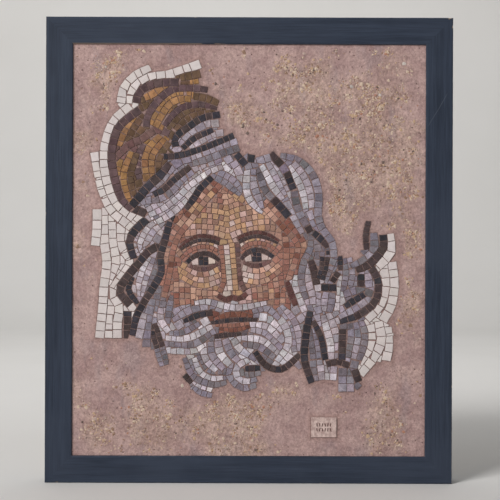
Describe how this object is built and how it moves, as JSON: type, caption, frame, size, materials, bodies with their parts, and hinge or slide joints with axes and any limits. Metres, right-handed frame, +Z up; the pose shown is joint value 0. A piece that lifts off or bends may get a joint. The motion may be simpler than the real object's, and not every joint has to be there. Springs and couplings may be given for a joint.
{
  "type": "mosaic panel",
  "caption": "Framed wall mosaic: cut marble stones on a sanded pink mortar bed show a bearded head in a cap, in a flat mitred wood frame.",
  "frame": {"origin": "middle of the backing board's back face, on the wall plane", "axes": "the picture faces -Y, +Y points into the wall, +Z is up and +X is to the viewer's right"},
  "size_m": [0.45, 0.032, 0.515],
  "materials": {
    "frame_paint": "brushed matt blue-grey paint, rubbed along the edges",
    "backing_wood": "plain sawn board",
    "mortar": "rough pink lime mortar with coloured sand",
    "tile_stone": "honed cream stone",
    "white_marble": "cut white marble",
    "cap_marble": "cut ochre, olive and wine marble",
    "hair_marble": "cut grey, lavender, white and black marble",
    "beard_marble": "cut white and grey marble",
    "skin_marble": "cut tan, pink and terracotta marble",
    "dark_marble": "cut dark brown marble"
  },
  "bodies": {
    "root": {"frame_rail_top": "frame_paint", "frame_rail_right": "frame_paint", "frame_rail_bottom": "frame_paint", "frame_rail_left": "frame_paint", "backing_board": "backing_wood", "mortar_bed": "mortar", "signature_tile": "tile_stone", "face_eye_left": "dark_marble", "face_eye_right": "dark_marble", "face_brow_left": "dark_marble", "face_brow_right": "dark_marble", "face_nose": "skin_marble", "face_lips": "skin_marble", "hair_crown_back": "hair_marble", "hair_crown_front": "hair_marble", "hair_parting": "hair_marble", "hair_forelock": "hair_marble", "hair_forelock_left": "hair_marble", "hair_temple_left": "hair_marble", "hair_right_upper": "hair_marble", "hair_curl_right": "hair_marble", "hair_wisp_right": "hair_marble", "hair_fall_right": "hair_marble", "moustache": "beard_marble", "beard_left": "beard_marble", "hair_tuft_left": "hair_marble", "beard_chin": "beard_marble", "beard_curl_left": "beard_marble", "beard_curl_middle": "beard_marble", "beard_right": "beard_marble", "beard_edge_right": "beard_marble", "cap_rim_upper": "cap_marble", "cap_rim_lower": "cap_marble", "cap_upper": "cap_marble", "cap_lower": "cap_marble", "ground_left": "white_marble", "ground_right": "white_marble", "face_lid_left": "skin_marble", "face_lid_right": "skin_marble", "face_forehead": "skin_marble", "face_cheek_left": "skin_marble", "face_cheek_right": "skin_marble"}
  },
  "joints": []
}
